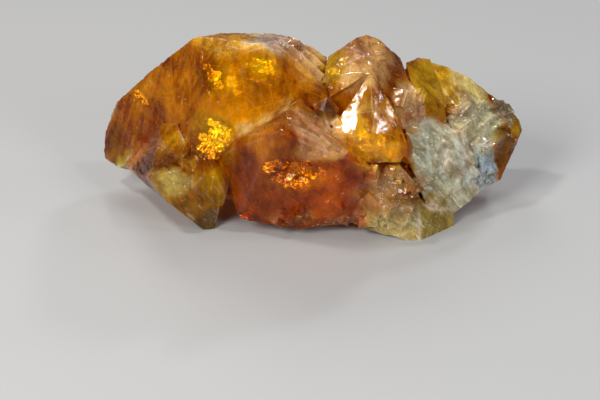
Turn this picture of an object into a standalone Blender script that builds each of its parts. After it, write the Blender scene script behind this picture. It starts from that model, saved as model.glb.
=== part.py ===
"""Scheelite crystal: a cluster of intergrown orange crystals, built as one solid.

Metres, +Z up.  X runs along the cluster, Y runs to its back, and the origin is under its middle,
on the surface that it rests on.  Every crystal is the convex solid of its own corners, and all of
them are fused, because that is how they grew.  Corners are given in millimetres.
"""
import math
import random

import bmesh
import bpy
from mathutils import Matrix, Vector
from mathutils.bvhtree import BVHTree

# The cluster's real length in metres, and its length between the corners below in millimetres
LENGTH = 0.0692
DRAWN_LENGTH = 69.2
UNIT = LENGTH / DRAWN_LENGTH

# The surface is at zero: what reaches below it is cut off flat
FLOOR_DEPTH = 4.0
FLOOR_REACH = 60.0

# Corners that several crystals share, in millimetres
BLADE_TIP = (-34.6, 11.0, 6.3)
BLADE_TOP = (-18.9, 2.9, 30.1)
BLADE_FRONT_HIGH = (-16.3, -3.7, 23.0)
BLADE_FRONT_LOW = (-19.8, -3.7, 13.7)
BLADE_RIDGE = (-24.0, 2.4, 15.5)
BLADE_GREEN = (-32.0, 6.9, 5.2)
BLADE_UNDER = (-29.1, 9.4, 3.0)
SHELF_LEFT = (-25.8, -7.9, 10.9)
SHELF_RIGHT = (-20.8, -6.6, 11.6)
SADDLE = (-14.6, -1.0, 26.1)
HEAD_LEFT = (-14.3, -4.2, 21.0)
HEAD_FOOT = (-12.0, -7.0, 17.5)
HEAD_CORNER = (-11.4, -2.4, 30.4)
HEAD_TOP = (-7.9, -2.1, 31.3)
HEAD_RIGHT = (2.3, -4.9, 23.2)
WEDGE_APEX = (-5.4, -15.8, 22.8)
WEDGE_LEFT = (-15.2, -4.9, 13.2)
WEDGE_HEEL = (-11.9, -6.1, 3.1)
WEDGE_TIP = (9.6, -11.5, 14.0)
WEDGE_BACK = (-2.0, -6.5, 24.1)
WEDGE_STEP = (2.3, -9.0, 20.2)
PEAK = (8.4, 1.5, 31.4)
GEM_TOP = (8.9, -3.5, 27.0)
FOOT_FRONT = (17.1, -8.7, -0.4)
FOOT_SIDE = (22.8, -3.6, -0.4)
PALE_MIDDLE = (23.9, 1.2, 14.9)
PALE_LOW = (25.5, -0.6, 2.9)
WING_LOW = (30.6, 2.9, 4.9)
WING_TIP = (34.6, 10.1, 10.5)

# The crystals, each with its corners
CRYSTALS = {
    "heart": [
        (-14.0, -3.0, 4.5), (6.0, -4.5, 3.5), (15.0, -3.0, 3.5), (-19.0, 11.0, 4.5),
        (0.0, 14.0, 3.0), (20.0, 11.0, 4.5), (-14.0, 0.5, 23.5), (0.0, -3.0, 20.5),
        (12.0, -1.0, 20.5), (-13.0, 9.0, 23.0), (1.0, 9.0, 20.5), (17.0, 8.0, 18.5),
    ],
    "left blade": [
        BLADE_TIP, (-34.4, 10.6, 5.0), (-34.3, 12.2, 9.0), (-33.3, 14.8, 11.6),
        (-32.1, 12.8, 14.5), (-26.4, 8.9, 21.4), BLADE_TOP, (-17.8, 2.4, 30.6),
        (-17.8, 1.4, 29.2), SADDLE, BLADE_FRONT_HIGH, BLADE_FRONT_LOW, BLADE_RIDGE,
        (-29.7, 6.2, 8.3), BLADE_GREEN, BLADE_UNDER, (-27.0, 14.8, 4.6), (-22.0, 14.4, 12.5),
        (-14.5, 9.0, 25.0), (-14.0, 2.0, 12.0),
    ],
    "left shelf": [
        (-24.2, 2.2, 15.2), (-20.2, -3.8, 13.6), SHELF_RIGHT, SHELF_LEFT, (-29.7, 6.2, 8.0),
        (-24.6, -7.4, 8.4), (-22.7, -7.3, 5.9), (-20.4, -6.9, 3.6), (-17.9, -5.4, 0.6),
        (-17.3, -4.8, -0.4), (-15.8, -4.6, -0.4), (-14.9, -4.4, 3.8), (-28.0, 9.0, 4.2),
        (-17.0, 4.0, 3.0), (-14.0, -2.0, 9.0), (-15.9, -2.4, -0.4), (-17.0, -2.6, -0.4),
        (-31.5, 7.2, 5.8),
    ],
    "olive wedge": [
        (-19.6, -3.9, 13.4), (-15.9, -6.2, 12.6), (-13.8, -7.2, 7.3), (-14.4, -6.9, 5.3),
        (-16.1, -6.5, 5.2), (-19.2, -6.6, 8.2), (-12.0, -2.0, 7.0), (-12.0, -1.0, 13.0),
        (-16.5, 0.0, 8.0),
    ],
    "golden face": [
        BLADE_FRONT_HIGH, SADDLE, HEAD_FOOT, BLADE_FRONT_LOW, (-15.9, -6.0, 12.6), HEAD_LEFT,
        (-11.0, 1.0, 21.0), (-11.0, 0.0, 12.0), (-17.0, 1.0, 14.0),
    ],
    "head": [
        (-17.8, 2.3, 30.6), (-17.6, 1.4, 29.2), SADDLE, (-13.7, -1.9, 28.9), HEAD_CORNER,
        HEAD_TOP, HEAD_LEFT, (-15.6, -2.9, 23.4), HEAD_FOOT, HEAD_RIGHT, (-14.5, 3.5, 30.7),
        (-11.2, 4.0, 30.2), (-6.8, 5.0, 30.1), (-4.7, 5.0, 29.7), (-2.0, 5.2, 28.5),
        (2.2, 6.0, 25.4), (-13.0, 12.5, 21.5), (-5.0, 14.0, 19.5), (2.0, 12.0, 18.0),
        (-3.0, -3.0, 17.0),
    ],
    "front wedge": [
        WEDGE_APEX, WEDGE_LEFT, WEDGE_HEEL, (-10.0, -6.6, 2.5), (-2.0, -7.6, 1.6),
        (6.0, -6.5, 2.0), WEDGE_TIP, (-12.1, -6.6, 17.3), WEDGE_BACK, WEDGE_STEP,
        (6.0, -10.5, 16.3), (-9.0, -1.0, 4.0), (5.0, -1.0, 4.0), (0.0, -2.0, 20.0),
    ],
    "notch crystal": [
        (-0.3, -6.0, 22.8), (2.3, -5.3, 24.0), (4.1, -6.3, 22.2), (2.3, -9.2, 20.2),
        (1.6, -8.9, 23.0), (2.0, -4.0, 20.0),
    ],
    "peak": [
        (2.4, 2.0, 27.3), (4.3, 1.5, 29.0), (6.1, 1.0, 30.6), (7.0, 1.0, 31.1), PEAK,
        (10.5, 2.0, 30.2), (12.2, 3.0, 28.0), (13.9, 4.0, 26.2), (1.9, -2.0, 25.1),
        (2.8, -4.0, 23.3), (8.1, -1.5, 28.2), (9.2, -3.2, 27.0), (12.2, -4.3, 22.5),
        (15.4, 0.5, 23.1), (16.6, 0.0, 17.5), (14.5, -4.0, 17.5), (3.0, -4.0, 18.0),
        (4.0, 12.0, 19.0), (12.0, 13.5, 17.0), (15.0, 8.0, 22.0),
    ],
    "front gem": [
        GEM_TOP, (6.2, -6.0, 23.9), (2.8, -9.0, 19.8), (3.8, -9.8, 18.5), (6.0, -10.3, 16.2),
        (8.8, -10.3, 14.8), (6.6, -10.9, 19.9), (9.6, -11.1, 19.3), (12.0, -5.5, 23.0),
        (13.5, -7.5, 20.0), (15.0, -8.4, 16.4), (13.6, -8.7, 14.0), (13.0, -2.0, 16.0),
        (5.0, -3.0, 17.0),
    ],
    "right band": [
        (14.9, 5.0, 24.9), (17.0, 9.3, 23.9), (19.0, 9.4, 23.6), (20.8, 6.0, 20.0),
        (22.0, 2.6, 16.0), (20.0, 1.2, 16.4), (15.0, -1.6, 17.2), (15.8, 0.6, 22.6),
        (15.0, 2.0, 15.0), (16.0, 14.0, 15.0), (21.0, 10.0, 15.0),
    ],
    "right wing": [
        (17.0, 9.3, 23.7), (21.4, 8.8, 22.6), (23.8, 8.3, 21.8), (25.5, 8.3, 20.7),
        (27.9, 8.8, 18.4), (30.1, 9.5, 16.4), (33.0, 10.3, 13.5), (34.1, 10.4, 12.2),
        WING_TIP, (33.5, 8.5, 8.3), (31.7, 5.5, 5.8), WING_LOW, PALE_MIDDLE, (20.4, 2.2, 16.0),
        (25.5, 0.2, 3.4), (20.0, 14.2, 13.0), (28.5, 14.4, 8.5), (31.5, 12.5, 6.0),
        (25.0, 13.0, 4.0), (16.0, 14.0, 8.0), (16.0, 4.0, 8.0),
    ],
    "pale face": [
        (14.6, -1.4, 17.3), (15.1, -4.4, 14.0), (15.4, -5.8, 12.0), (20.1, 1.4, 16.6),
        (23.9, 0.8, 14.4), (25.6, 0.4, 10.8), PALE_LOW, (18.7, -6.1, 4.8), (22.4, -3.1, 1.8),
        (29.8, 3.0, 5.2), (16.0, 3.0, 4.0), (22.0, 5.0, 4.0),
    ],
    "right lump": [
        (5.8, -9.2, 10.9), (9.2, -10.0, 11.7), (13.6, -8.8, 13.6), (15.9, -7.0, 10.0),
        (16.9, -6.8, 6.8), (12.9, -9.5, 6.4), (8.2, -9.4, 8.7), (14.6, -8.0, 0.3),
        (11.5, -7.6, 0.5), (9.5, -7.3, 1.2), (6.2, -6.6, 2.1), (6.0, -1.0, 4.0),
        (15.0, -1.0, 3.0), (12.0, -2.0, 13.0),
    ],
    "right foot": [
        FOOT_FRONT, FOOT_SIDE, (18.9, -6.4, 4.6), (22.6, -3.0, 2.4), (14.2, -8.4, 0.2),
        (12.5, -7.8, 0.5), (16.6, -7.0, 6.6), (15.0, -1.0, -0.4), (20.0, 1.6, -0.4),
        (21.0, 2.0, 4.0), (14.0, 0.0, 5.0),
    ],
    "back left crystal": [
        (-25.0, 14.8, 5.6), (-20.0, 14.6, 13.0), (-12.0, 14.2, 14.5), (-13.5, 10.0, 23.5),
        (-17.0, 6.5, 26.5), (-11.0, 14.4, 3.6), (-21.0, 13.0, 2.6), (-12.0, 8.0, 6.0),
    ],
    "back middle crystal": [
        (-10.0, 13.6, 17.0), (-3.0, 15.0, 15.4), (5.0, 14.4, 13.5), (1.0, 9.0, 22.5),
        (-6.0, 9.5, 24.0), (7.0, 13.6, -0.4), (-4.0, 14.0, -0.4), (-1.0, 7.0, -0.4),
        (6.0, 8.0, -0.4), (-10.0, 12.0, 5.0), (9.0, 12.0, 8.0),
    ],
    "back seam crystal": [
        (-15.0, 12.2, 17.5), (-9.4, 12.8, 19.0), (-8.0, 13.4, 8.0), (-8.6, 12.4, 4.0),
        (-14.6, 13.4, 5.0), (-11.0, 9.0, 23.8), (-12.0, 6.0, 10.0), (-16.0, 13.2, 10.0),
    ],
    "back saddle crystal": [
        (3.6, 12.0, 18.4), (9.0, 12.4, 18.0), (8.6, 13.2, 9.0), (4.0, 13.4, 8.0),
        (3.4, 6.0, 22.6), (6.0, 8.0, 24.2), (9.4, 7.4, 23.0), (6.0, 6.0, 12.0),
    ],
    "back right crystal": [
        (7.0, 13.8, 15.5), (15.0, 15.0, 11.0), (19.5, 13.6, 14.6), (12.0, 7.5, 23.5),
        (8.0, 9.0, 22.5), (18.0, 13.5, 3.0), (8.0, 13.5, 3.5), (13.0, 6.0, 8.0),
    ],
}

# Where a crystal overhangs or lies over another, a thin plate stands a little proud
PLATES = {
    "gold plate on the shelf": [
        (-24.4, 1.6, 15.9), (-21.6, -0.9, 17.0), (-19.6, -4.3, 13.9), (-20.8, -5.4, 12.6),
        (-23.0, -3.6, 12.8), (-24.6, -0.6, 14.3), (-21.5, 1.0, 13.0),
    ],
    "ledge below the head": [
        (-11.9, -7.0, 17.8), (-8.6, -8.4, 19.7), (-4.6, -8.9, 22.4), (-3.2, -6.2, 23.8),
        (-8.0, -5.6, 20.4), (-7.0, -5.0, 17.5),
    ],
    "left cap of the peak": [
        (2.2, 1.4, 26.9), (1.5, -1.6, 24.6), (2.3, -3.0, 24.2), (3.8, -1.2, 27.0),
        (6.2, 0.3, 30.0), (5.6, 1.2, 29.9), (6.0, 3.0, 25.0),
    ],
    "fold under the peak": [
        (2.6, -4.6, 23.4), (5.8, -4.4, 25.4), (8.0, -3.4, 26.6), (6.2, -1.0, 27.4),
        (3.0, -2.4, 25.6), (5.0, -2.0, 22.0),
    ],
    "fin between peak and wing": [
        (14.6, 1.0, 24.6), (16.8, 0.2, 21.6), (17.4, -0.6, 17.6), (15.6, -2.2, 17.6),
        (14.4, -1.4, 20.8), (15.6, 3.6, 20.0),
    ],
    "block in the lump": [
        (9.8, -9.9, 8.0), (12.8, -9.9, 8.8), (13.6, -9.2, 4.6), (11.0, -8.6, 2.6),
        (8.8, -8.6, 4.6), (11.0, -6.0, 6.0),
    ],
    "bridge beside the gem": [
        (14.4, -7.4, 14.6), (15.6, -6.2, 12.4), (15.9, -4.6, 15.0), (14.8, -6.4, 17.8),
        (13.0, -6.0, 13.0), (13.2, -4.0, 17.0),
    ],
    "rim of the pale face": [
        (16.3, -5.9, 9.6), (18.1, -6.9, 5.6), (20.3, -5.0, 3.9), (19.3, -3.6, 6.6),
        (17.4, -4.0, 10.2), (17.6, -2.6, 5.8),
    ],
}

# Growth steps, each a low ridge along a face: start, end, outward direction, width and height
GROWTH_STEPS = [
    ((-6.0, -0.4, 30.9), (1.2, -3.0, 24.8), (0.6, -0.3, 0.8), 1.6, 0.5),
    ((-5.2, 1.6, 30.6), (1.8, -1.0, 25.4), (0.6, -0.1, 0.8), 1.4, 0.6),
    ((-3.6, 3.4, 29.6), (2.0, 1.4, 25.8), (0.6, 0.1, 0.8), 1.5, 0.5),
    ((-1.2, 4.6, 28.2), (2.0, 3.6, 26.0), (0.6, 0.2, 0.8), 1.2, 0.5),
    ((-10.0, -7.8, 18.4), (-3.2, -10.2, 22.6), (-0.6, -0.3, 0.8), 0.9, 0.4),
    ((-3.4, -13.2, 22.9), (5.2, -12.0, 17.4), (0.5, -0.3, 0.8), 0.9, 0.4),
    ((-2.8, -10.4, 23.4), (4.6, -10.8, 18.0), (0.5, -0.3, 0.8), 0.8, 0.4),
    ((16.4, 2.6, 22.6), (20.2, 1.8, 17.2), (0.2, -0.7, 0.7), 1.1, 0.5),
    ((17.8, 5.6, 22.4), (21.6, 3.4, 17.6), (0.2, -0.7, 0.7), 1.1, 0.5),
    ((16.4, -3.8, 13.6), (21.6, -2.8, 5.0), (0.2, -0.9, 0.4), 1.5, 0.6),
    ((18.6, -1.6, 13.8), (24.2, -0.8, 6.0), (0.4, -0.9, 0.4), 1.6, 0.6),
    ((20.6, 0.2, 14.6), (25.6, 0.8, 8.2), (0.5, -0.8, 0.5), 1.5, 0.5),
    ((-4.6, 13.2, 18.4), (4.6, 12.8, 16.4), (0.0, 0.8, 0.6), 1.4, 0.6),
    ((-9.0, 11.6, 20.6), (2.2, 10.8, 20.2), (0.0, 0.7, 0.7), 1.4, 0.6),
    ((-21.0, 12.6, 16.4), (-14.6, 12.8, 18.0), (-0.1, 0.8, 0.6), 1.4, 0.6),
    ((9.0, 12.4, 17.6), (17.6, 12.6, 16.6), (0.1, 0.8, 0.6), 1.3, 0.6),
]

# A growth step's cross-section, as shares of its width: full and half width, and depth in the face
STEP_HALF = 0.5
STEP_CREST = 0.3

# Where along a growth step its cross-sections stand, and how large each one is
STEP_STATIONS = [(0.0, 0.35), (0.3, 1.0), (0.7, 0.9), (1.0, 0.35)]

# Hollows broken out of the faces
CHIPS = {
    "shell-shaped break in the wedge": [
        (-4.4, -13.9, 17.2), (-0.4, -13.8, 16.8), (1.0, -13.1, 15.0), (0.4, -12.2, 12.6),
        (-2.0, -11.8, 11.5), (-4.6, -12.1, 12.2), (-5.6, -12.8, 14.2), (-2.4, -15.0, 14.4),
        (-3.4, -12.0, 15.8), (-1.0, -11.9, 15.6), (-0.4, -11.3, 13.8), (-2.2, -10.8, 12.8),
        (-3.9, -11.1, 13.4),
    ],
    "dark pit of the wing": [
        (21.8, 3.8, 18.9), (22.9, 4.0, 18.9), (22.4, 1.6, 15.4), (21.5, 1.4, 15.6),
        (21.2, 5.0, 16.0), (22.6, 4.6, 15.4), (21.2, 0.0, 20.0), (22.6, 0.0, 20.0),
    ],
}

# Patches rough with small crystals: centre, outward direction, radius, count, least and most size
ROUGH_PATCHES = [
    ((15.6, -2.0, 20.5), (0.3, -0.8, 0.5), 2.8, 18, 0.8, 1.5),
    ((16.4, -6.6, 9.5), (0.3, -0.9, 0.3), 3.0, 18, 0.7, 1.4),
    ((11.0, -9.8, 10.8), (0.1, -0.9, 0.4), 3.0, 16, 0.7, 1.4),
    ((10.4, -8.8, 5.0), (0.0, -0.9, -0.1), 3.4, 14, 0.8, 1.6),
    ((26.0, 3.5, 15.0), (0.3, -0.6, 0.7), 4.0, 18, 0.9, 1.8),
    ((30.5, 7.0, 12.5), (0.5, -0.6, 0.6), 3.4, 18, 0.8, 1.7),
    ((27.6, 2.4, 9.0), (0.5, -0.8, 0.3), 3.6, 14, 0.8, 1.7),
    ((20.0, -2.0, 9.0), (0.3, -0.8, 0.5), 4.2, 14, 0.8, 1.8),
    ((32.0, 10.2, 14.5), (0.6, 0.0, 0.8), 2.4, 8, 0.5, 1.1),
    ((10.8, 1.5, 29.4), (0.4, -0.3, 0.8), 2.2, 10, 0.5, 1.0),
    ((-3.4, 2.5, 29.0), (0.3, -0.2, 0.9), 3.0, 12, 0.5, 1.0),
    ((2.0, -10.5, 19.0), (0.2, -0.7, 0.7), 3.4, 12, 0.5, 1.1),
    ((0.0, -7.5, 3.0), (0.0, -0.9, -0.3), 6.0, 16, 0.7, 1.4),
    ((-2.0, 15.0, 9.0), (0.0, 1.0, 0.1), 7.0, 15, 0.9, 2.2),
    ((14.0, 15.0, 9.0), (0.1, 1.0, 0.1), 5.5, 13, 0.9, 2.0),
    ((-19.0, 15.0, 9.0), (-0.2, 1.0, 0.1), 5.0, 11, 0.9, 2.0),
    ((27.0, 14.0, 12.0), (0.3, 0.8, 0.5), 5.0, 11, 0.8, 1.8),
    ((28.0, 4.5, 13.0), (0.4, -0.6, 0.6), 4.5, 4, 1.8, 2.6),
    ((13.0, -9.0, 7.0), (0.1, -0.9, 0.2), 4.0, 4, 1.7, 2.5),
]
GRAIN_SEED = 11
GRAIN_SINK = 0.45
GRAIN_TILT = 0.25
GRAIN_SIDES = (0.55, 1.3)
GRAIN_CORNERS = (0.7, 1.0)
PATCH_LEAN = (0.3, 1.2)

# Grains are placed by rays from this far outside, and none hangs within this height of the surface
CAST_START = 12.0
GRAIN_CLEARANCE = 1.0


def clear_scene():
    """Removes whatever the file holds."""
    for found in list(bpy.data.objects):
        bpy.data.objects.remove(found, do_unlink=True)


def make_object(name, bm):
    """Puts a finished bmesh into the scene as an object."""
    mesh = bpy.data.meshes.new(name)
    bmesh.ops.recalc_face_normals(bm, faces=bm.faces)
    bm.to_mesh(mesh)
    bm.free()
    made = bpy.data.objects.new(name, mesh)
    bpy.context.scene.collection.objects.link(made)
    return made


def convex_solid(name, corners):
    """The convex solid of a list of corners in millimetres."""
    bm = bmesh.new()
    for corner in corners:
        bm.verts.new(Vector(corner) * UNIT)
    hull = bmesh.ops.convex_hull(bm, input=bm.verts)
    unused = [e for e in hull["geom_interior"] if isinstance(e, bmesh.types.BMVert)]
    bmesh.ops.delete(bm, geom=unused, context="VERTS")
    return make_object(name, bm)


def combine(base, others, operation):
    """Joins or cuts a base with other objects by one exact Boolean, and removes them."""
    group = bpy.data.collections.new("operands")
    for other in others:
        group.objects.link(other)
    boolean = base.modifiers.new("combine", "BOOLEAN")
    boolean.operation = operation
    boolean.operand_type = "COLLECTION"
    boolean.collection = group
    boolean.solver = "EXACT"
    depsgraph = bpy.context.evaluated_depsgraph_get()
    result = bpy.data.meshes.new_from_object(base.evaluated_get(depsgraph))
    base.modifiers.clear()
    base.data = result
    for other in others:
        bpy.data.objects.remove(other, do_unlink=True)
    bpy.data.collections.remove(group)


def small_crystal(name, rng, place, size, lie):
    """A small stubby block with uneven sides, turned by lie and a little more."""
    tilt = Matrix.Rotation(rng.uniform(-GRAIN_TILT, GRAIN_TILT), 3, "X")
    turn = lie @ Matrix.Rotation(rng.uniform(-GRAIN_TILT, GRAIN_TILT), 3, "Z") @ tilt
    sides = [size * rng.uniform(*GRAIN_SIDES) for _ in range(3)]
    corners = []
    for signs in ((x, y, z) for x in (-1, 1) for y in (-1, 1) for z in (-1, 1)):
        arm = Vector([sign * side * rng.uniform(*GRAIN_CORNERS) for sign, side in zip(signs, sides)])
        corners.append(place + turn @ arm)
    return convex_solid(name, corners)


def growth_step(name, start, end, outward, width, height):
    """A low ridge, steep on one side, whose ends run out into the face."""
    run = Vector(end) - Vector(start)
    out = Vector(outward).normalized()
    side = run.cross(out).normalized()
    out = side.cross(run).normalized()
    corners = []
    for share, spread in STEP_STATIONS:
        middle = Vector(start) + run * share
        half = side * width * STEP_HALF * spread
        root = out * width * STEP_HALF
        corners.append(middle + half - root)
        corners.append(middle - half - root)
        corners.append(middle + side * width * STEP_CREST * spread + out * height * spread)
        corners.append(middle - half)
    return convex_solid(name, corners)


def scatter_grains(base):
    """Sets small crystals on the rough patches, each sunk into the surface under it."""
    bm = bmesh.new()
    bm.from_mesh(base.data)
    surface = BVHTree.FromBMesh(bm)
    bm.free()
    rng = random.Random(GRAIN_SEED)
    grains = []
    for centre, outward, radius, count, least, most in ROUGH_PATCHES:
        out = Vector(outward).normalized()
        across = out.orthogonal().normalized()
        heading = Matrix.Rotation(rng.uniform(0.0, math.tau), 3, "Z")
        lie = heading @ Matrix.Rotation(rng.uniform(*PATCH_LEAN), 3, "X")
        for _ in range(count):
            reach = radius * math.sqrt(rng.random())
            turn = Matrix.Rotation(rng.uniform(0.0, math.tau), 3, out)
            start = Vector(centre) + turn @ across * reach + out * CAST_START
            size = rng.uniform(least, most)
            hit, normal, _, _ = surface.ray_cast(start * UNIT, -out)
            if hit is None:
                continue
            place = hit / UNIT - normal * size * GRAIN_SINK
            if place.z > most + GRAIN_CLEARANCE:
                grains.append(small_crystal(f"grain {len(grains)}", rng, place, size, lie))
    return grains


def keep_outer_shell(base):
    """Drops the walls of gaps shut in between the crystals, and any crumb that stands free."""
    bm = bmesh.new()
    bm.from_mesh(base.data)
    waiting = set(bm.verts)
    shells = []
    while waiting:
        shell = set()
        front = [waiting.pop()]
        while front:
            vert = front.pop()
            shell.add(vert)
            near = {edge.other_vert(vert) for edge in vert.link_edges} & waiting
            waiting -= near
            front.extend(near)
        shells.append(shell)
    outer = max(shells, key=len)
    bmesh.ops.delete(bm, geom=[vert for vert in bm.verts if vert not in outer], context="VERTS")
    bm.to_mesh(base.data)
    bm.free()


def centre_over_origin(base):
    """Moves the solid so that its box is centred over the origin."""
    places = [vert.co for vert in base.data.vertices]
    middle = [(min(p[axis] for p in places) + max(p[axis] for p in places)) / 2 for axis in (0, 1)]
    base.data.transform(Matrix.Translation((-middle[0], -middle[1], 0.0)))


def floor_cutter():
    """A block under the surface, which cuts the feet off flat."""
    low = (-FLOOR_REACH, -FLOOR_REACH, -FLOOR_DEPTH)
    high = (FLOOR_REACH, FLOOR_REACH, 0.0)
    corners = [(x, y, z) for x in (low[0], high[0]) for y in (low[1], high[1]) for z in (low[2], high[2])]
    return convex_solid("floor cutter", corners)


def scheelite_material():
    """Deep honey orange, clear and glossy."""
    material = bpy.data.materials.new("scheelite")
    material.use_nodes = True
    shader = material.node_tree.nodes["Principled BSDF"]
    shader.inputs["Base Color"].default_value = (0.72, 0.24, 0.02, 1.0)
    shader.inputs["Roughness"].default_value = 0.18
    shader.inputs["Metallic"].default_value = 0.0
    return material


def build_cluster():
    """Fuses the crystals, breaks the chips out, adds the small crystals and levels the feet."""
    solids = [convex_solid(name, corners) for name, corners in (CRYSTALS | PLATES).items()]
    solids += [growth_step(f"step {number}", *step) for number, step in enumerate(GROWTH_STEPS)]
    cluster = solids.pop(0)
    cluster.name = "scheelite_crystal"
    combine(cluster, solids, "UNION")
    combine(cluster, [convex_solid(name, corners) for name, corners in CHIPS.items()], "DIFFERENCE")
    combine(cluster, scatter_grains(cluster), "UNION")
    combine(cluster, [floor_cutter()], "DIFFERENCE")
    keep_outer_shell(cluster)
    centre_over_origin(cluster)
    cluster.data.materials.clear()
    cluster.data.materials.append(scheelite_material())


clear_scene()
build_cluster()
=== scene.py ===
"""The looks of the scheelite crystal: a clear to cloudy honey-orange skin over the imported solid,
with crumpled cracks and flakes that flash inside it, on a plain pale floor under soft studio light."""
import math
import random

import bmesh
import bpy
import numpy as np
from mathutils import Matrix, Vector, noise
from mathutils.bvhtree import BVHTree
from mathutils.kdtree import KDTree


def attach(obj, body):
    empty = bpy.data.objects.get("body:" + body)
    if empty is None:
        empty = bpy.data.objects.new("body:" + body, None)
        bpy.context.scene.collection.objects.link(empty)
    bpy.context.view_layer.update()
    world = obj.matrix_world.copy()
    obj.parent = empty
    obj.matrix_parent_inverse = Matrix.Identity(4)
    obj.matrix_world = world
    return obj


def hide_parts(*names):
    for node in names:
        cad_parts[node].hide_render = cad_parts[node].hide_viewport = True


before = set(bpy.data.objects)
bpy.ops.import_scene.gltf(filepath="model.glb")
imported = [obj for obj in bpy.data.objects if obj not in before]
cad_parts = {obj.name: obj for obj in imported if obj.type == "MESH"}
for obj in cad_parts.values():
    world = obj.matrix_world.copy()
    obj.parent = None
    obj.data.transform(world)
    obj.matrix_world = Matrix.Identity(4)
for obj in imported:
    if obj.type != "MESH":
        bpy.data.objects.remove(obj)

MM = 0.001
NODE = "scheelite_crystal"
NOISE_SEED = 5
noise.seed_set(NOISE_SEED)
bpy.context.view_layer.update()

# The photograph's view: pitch in degrees, distance and offsets in metres, focal length in mm
VIEW_PITCH = 28.0
VIEW_DISTANCE = 0.3467
VIEW_LEFT = 0.00204
VIEW_LIFT = 0.002445
VIEW_BACK = 0.000442
LENS = 127.6
SENSOR = 36.0
CLIP_START = 0.01

# Floor and surround: half width in metres, colours, roughness and strength
FLOOR_REACH = 1.5
FLOOR_COLOUR = (0.44, 0.44, 0.435, 1.0)
FLOOR_ROUGHNESS = 0.6
SURROUND_COLOUR = (0.90, 0.92, 1.0, 1.0)
SURROUND_STRENGTH = 0.12

# Square lights: place, aim and size in metres, power in watts and colour
MIDDLE = (0.0, 0.0, 0.015)
LIGHTS = {
    "key": ((-0.16, -0.06, 0.30), MIDDLE, 0.036, 0.33, (1.0, 1.0, 1.0)),
    "front left light": ((-0.22, -0.28, 0.26), MIDDLE, 0.16, 1.45, (1.0, 0.97, 0.93)),
    "front right light": ((0.26, -0.30, 0.20), MIDDLE, 0.14, 0.65, (0.95, 0.97, 1.0)),
    "back light": ((-0.10, 0.32, 0.30), MIDDLE, 0.20, 0.5, (1.0, 0.97, 0.94)),
    "rim light": ((0.16, 0.28, 0.26), MIDDLE, 0.05, 0.32, (0.92, 0.95, 1.0)),
    "glint light": ((0.18, -0.12, 0.36), (0.01, 0.0, 0.015), 0.03, 0.16, (0.95, 0.97, 1.0)),
    "side light": ((0.30, -0.04, 0.24), MIDDLE, 0.022, 0.07, (0.90, 0.95, 1.0)),
}

# Skin: how close points weld in metres, fineness of its mesh, and the triangles it is thinned to
WELD = 1e-7
OCTREE_DEPTH = 8
OCTREE_SCALE = 0.9
TRIANGLES = 188000
SHARP_ANGLE = 22.0

# Edges of the solid: the angle that counts as one in degrees, and the step of its points in mm
CREASE_ANGLE = 24.0
CREASE_STEP = 0.25
EDGE_REACH = 0.30

# Reliefs of the skin, each with its height and its length in millimetres
WAVE = (0.10, 7.0)
RIPPLE = (0.035, 1.9)
CHIP = (0.26, 0.8)
CHIP_PATCH = 3.1
CHIP_REACH = 0.48
CHIP_SHARE = 0.15

# Crust of small tilted facets: coarse and fine, how much its grains differ, and their seeds
CRUST = ((0.14, 1.05), (0.08, 0.52))
CRUST_LEVEL = 0.35
CRUST_TILT = 2.4
TILT_SEED = 5.3
LEVEL_SEED = 3.1
LEVEL_SHIFT = Vector((4.7, 1.3, 8.9))

# Flights of low steps: the way they climb, height and length in millimetres, and how they stray
LEDGE = (Vector((0.62, 0.25, 0.74)).normalized(), 0.24, 1.5, 0.9)
STRIATION = (Vector((0.80, 0.45, 0.10)).normalized(), 0.06, 0.8, 1.4)
STAIR_DROP = 0.22
STAIR_SWAY = 4.0
FAINT = 0.03

# The places below are drawn 0.442 mm further back than the frame has them
SHIFT = np.array((0.0, -0.442, 0.0))

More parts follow.
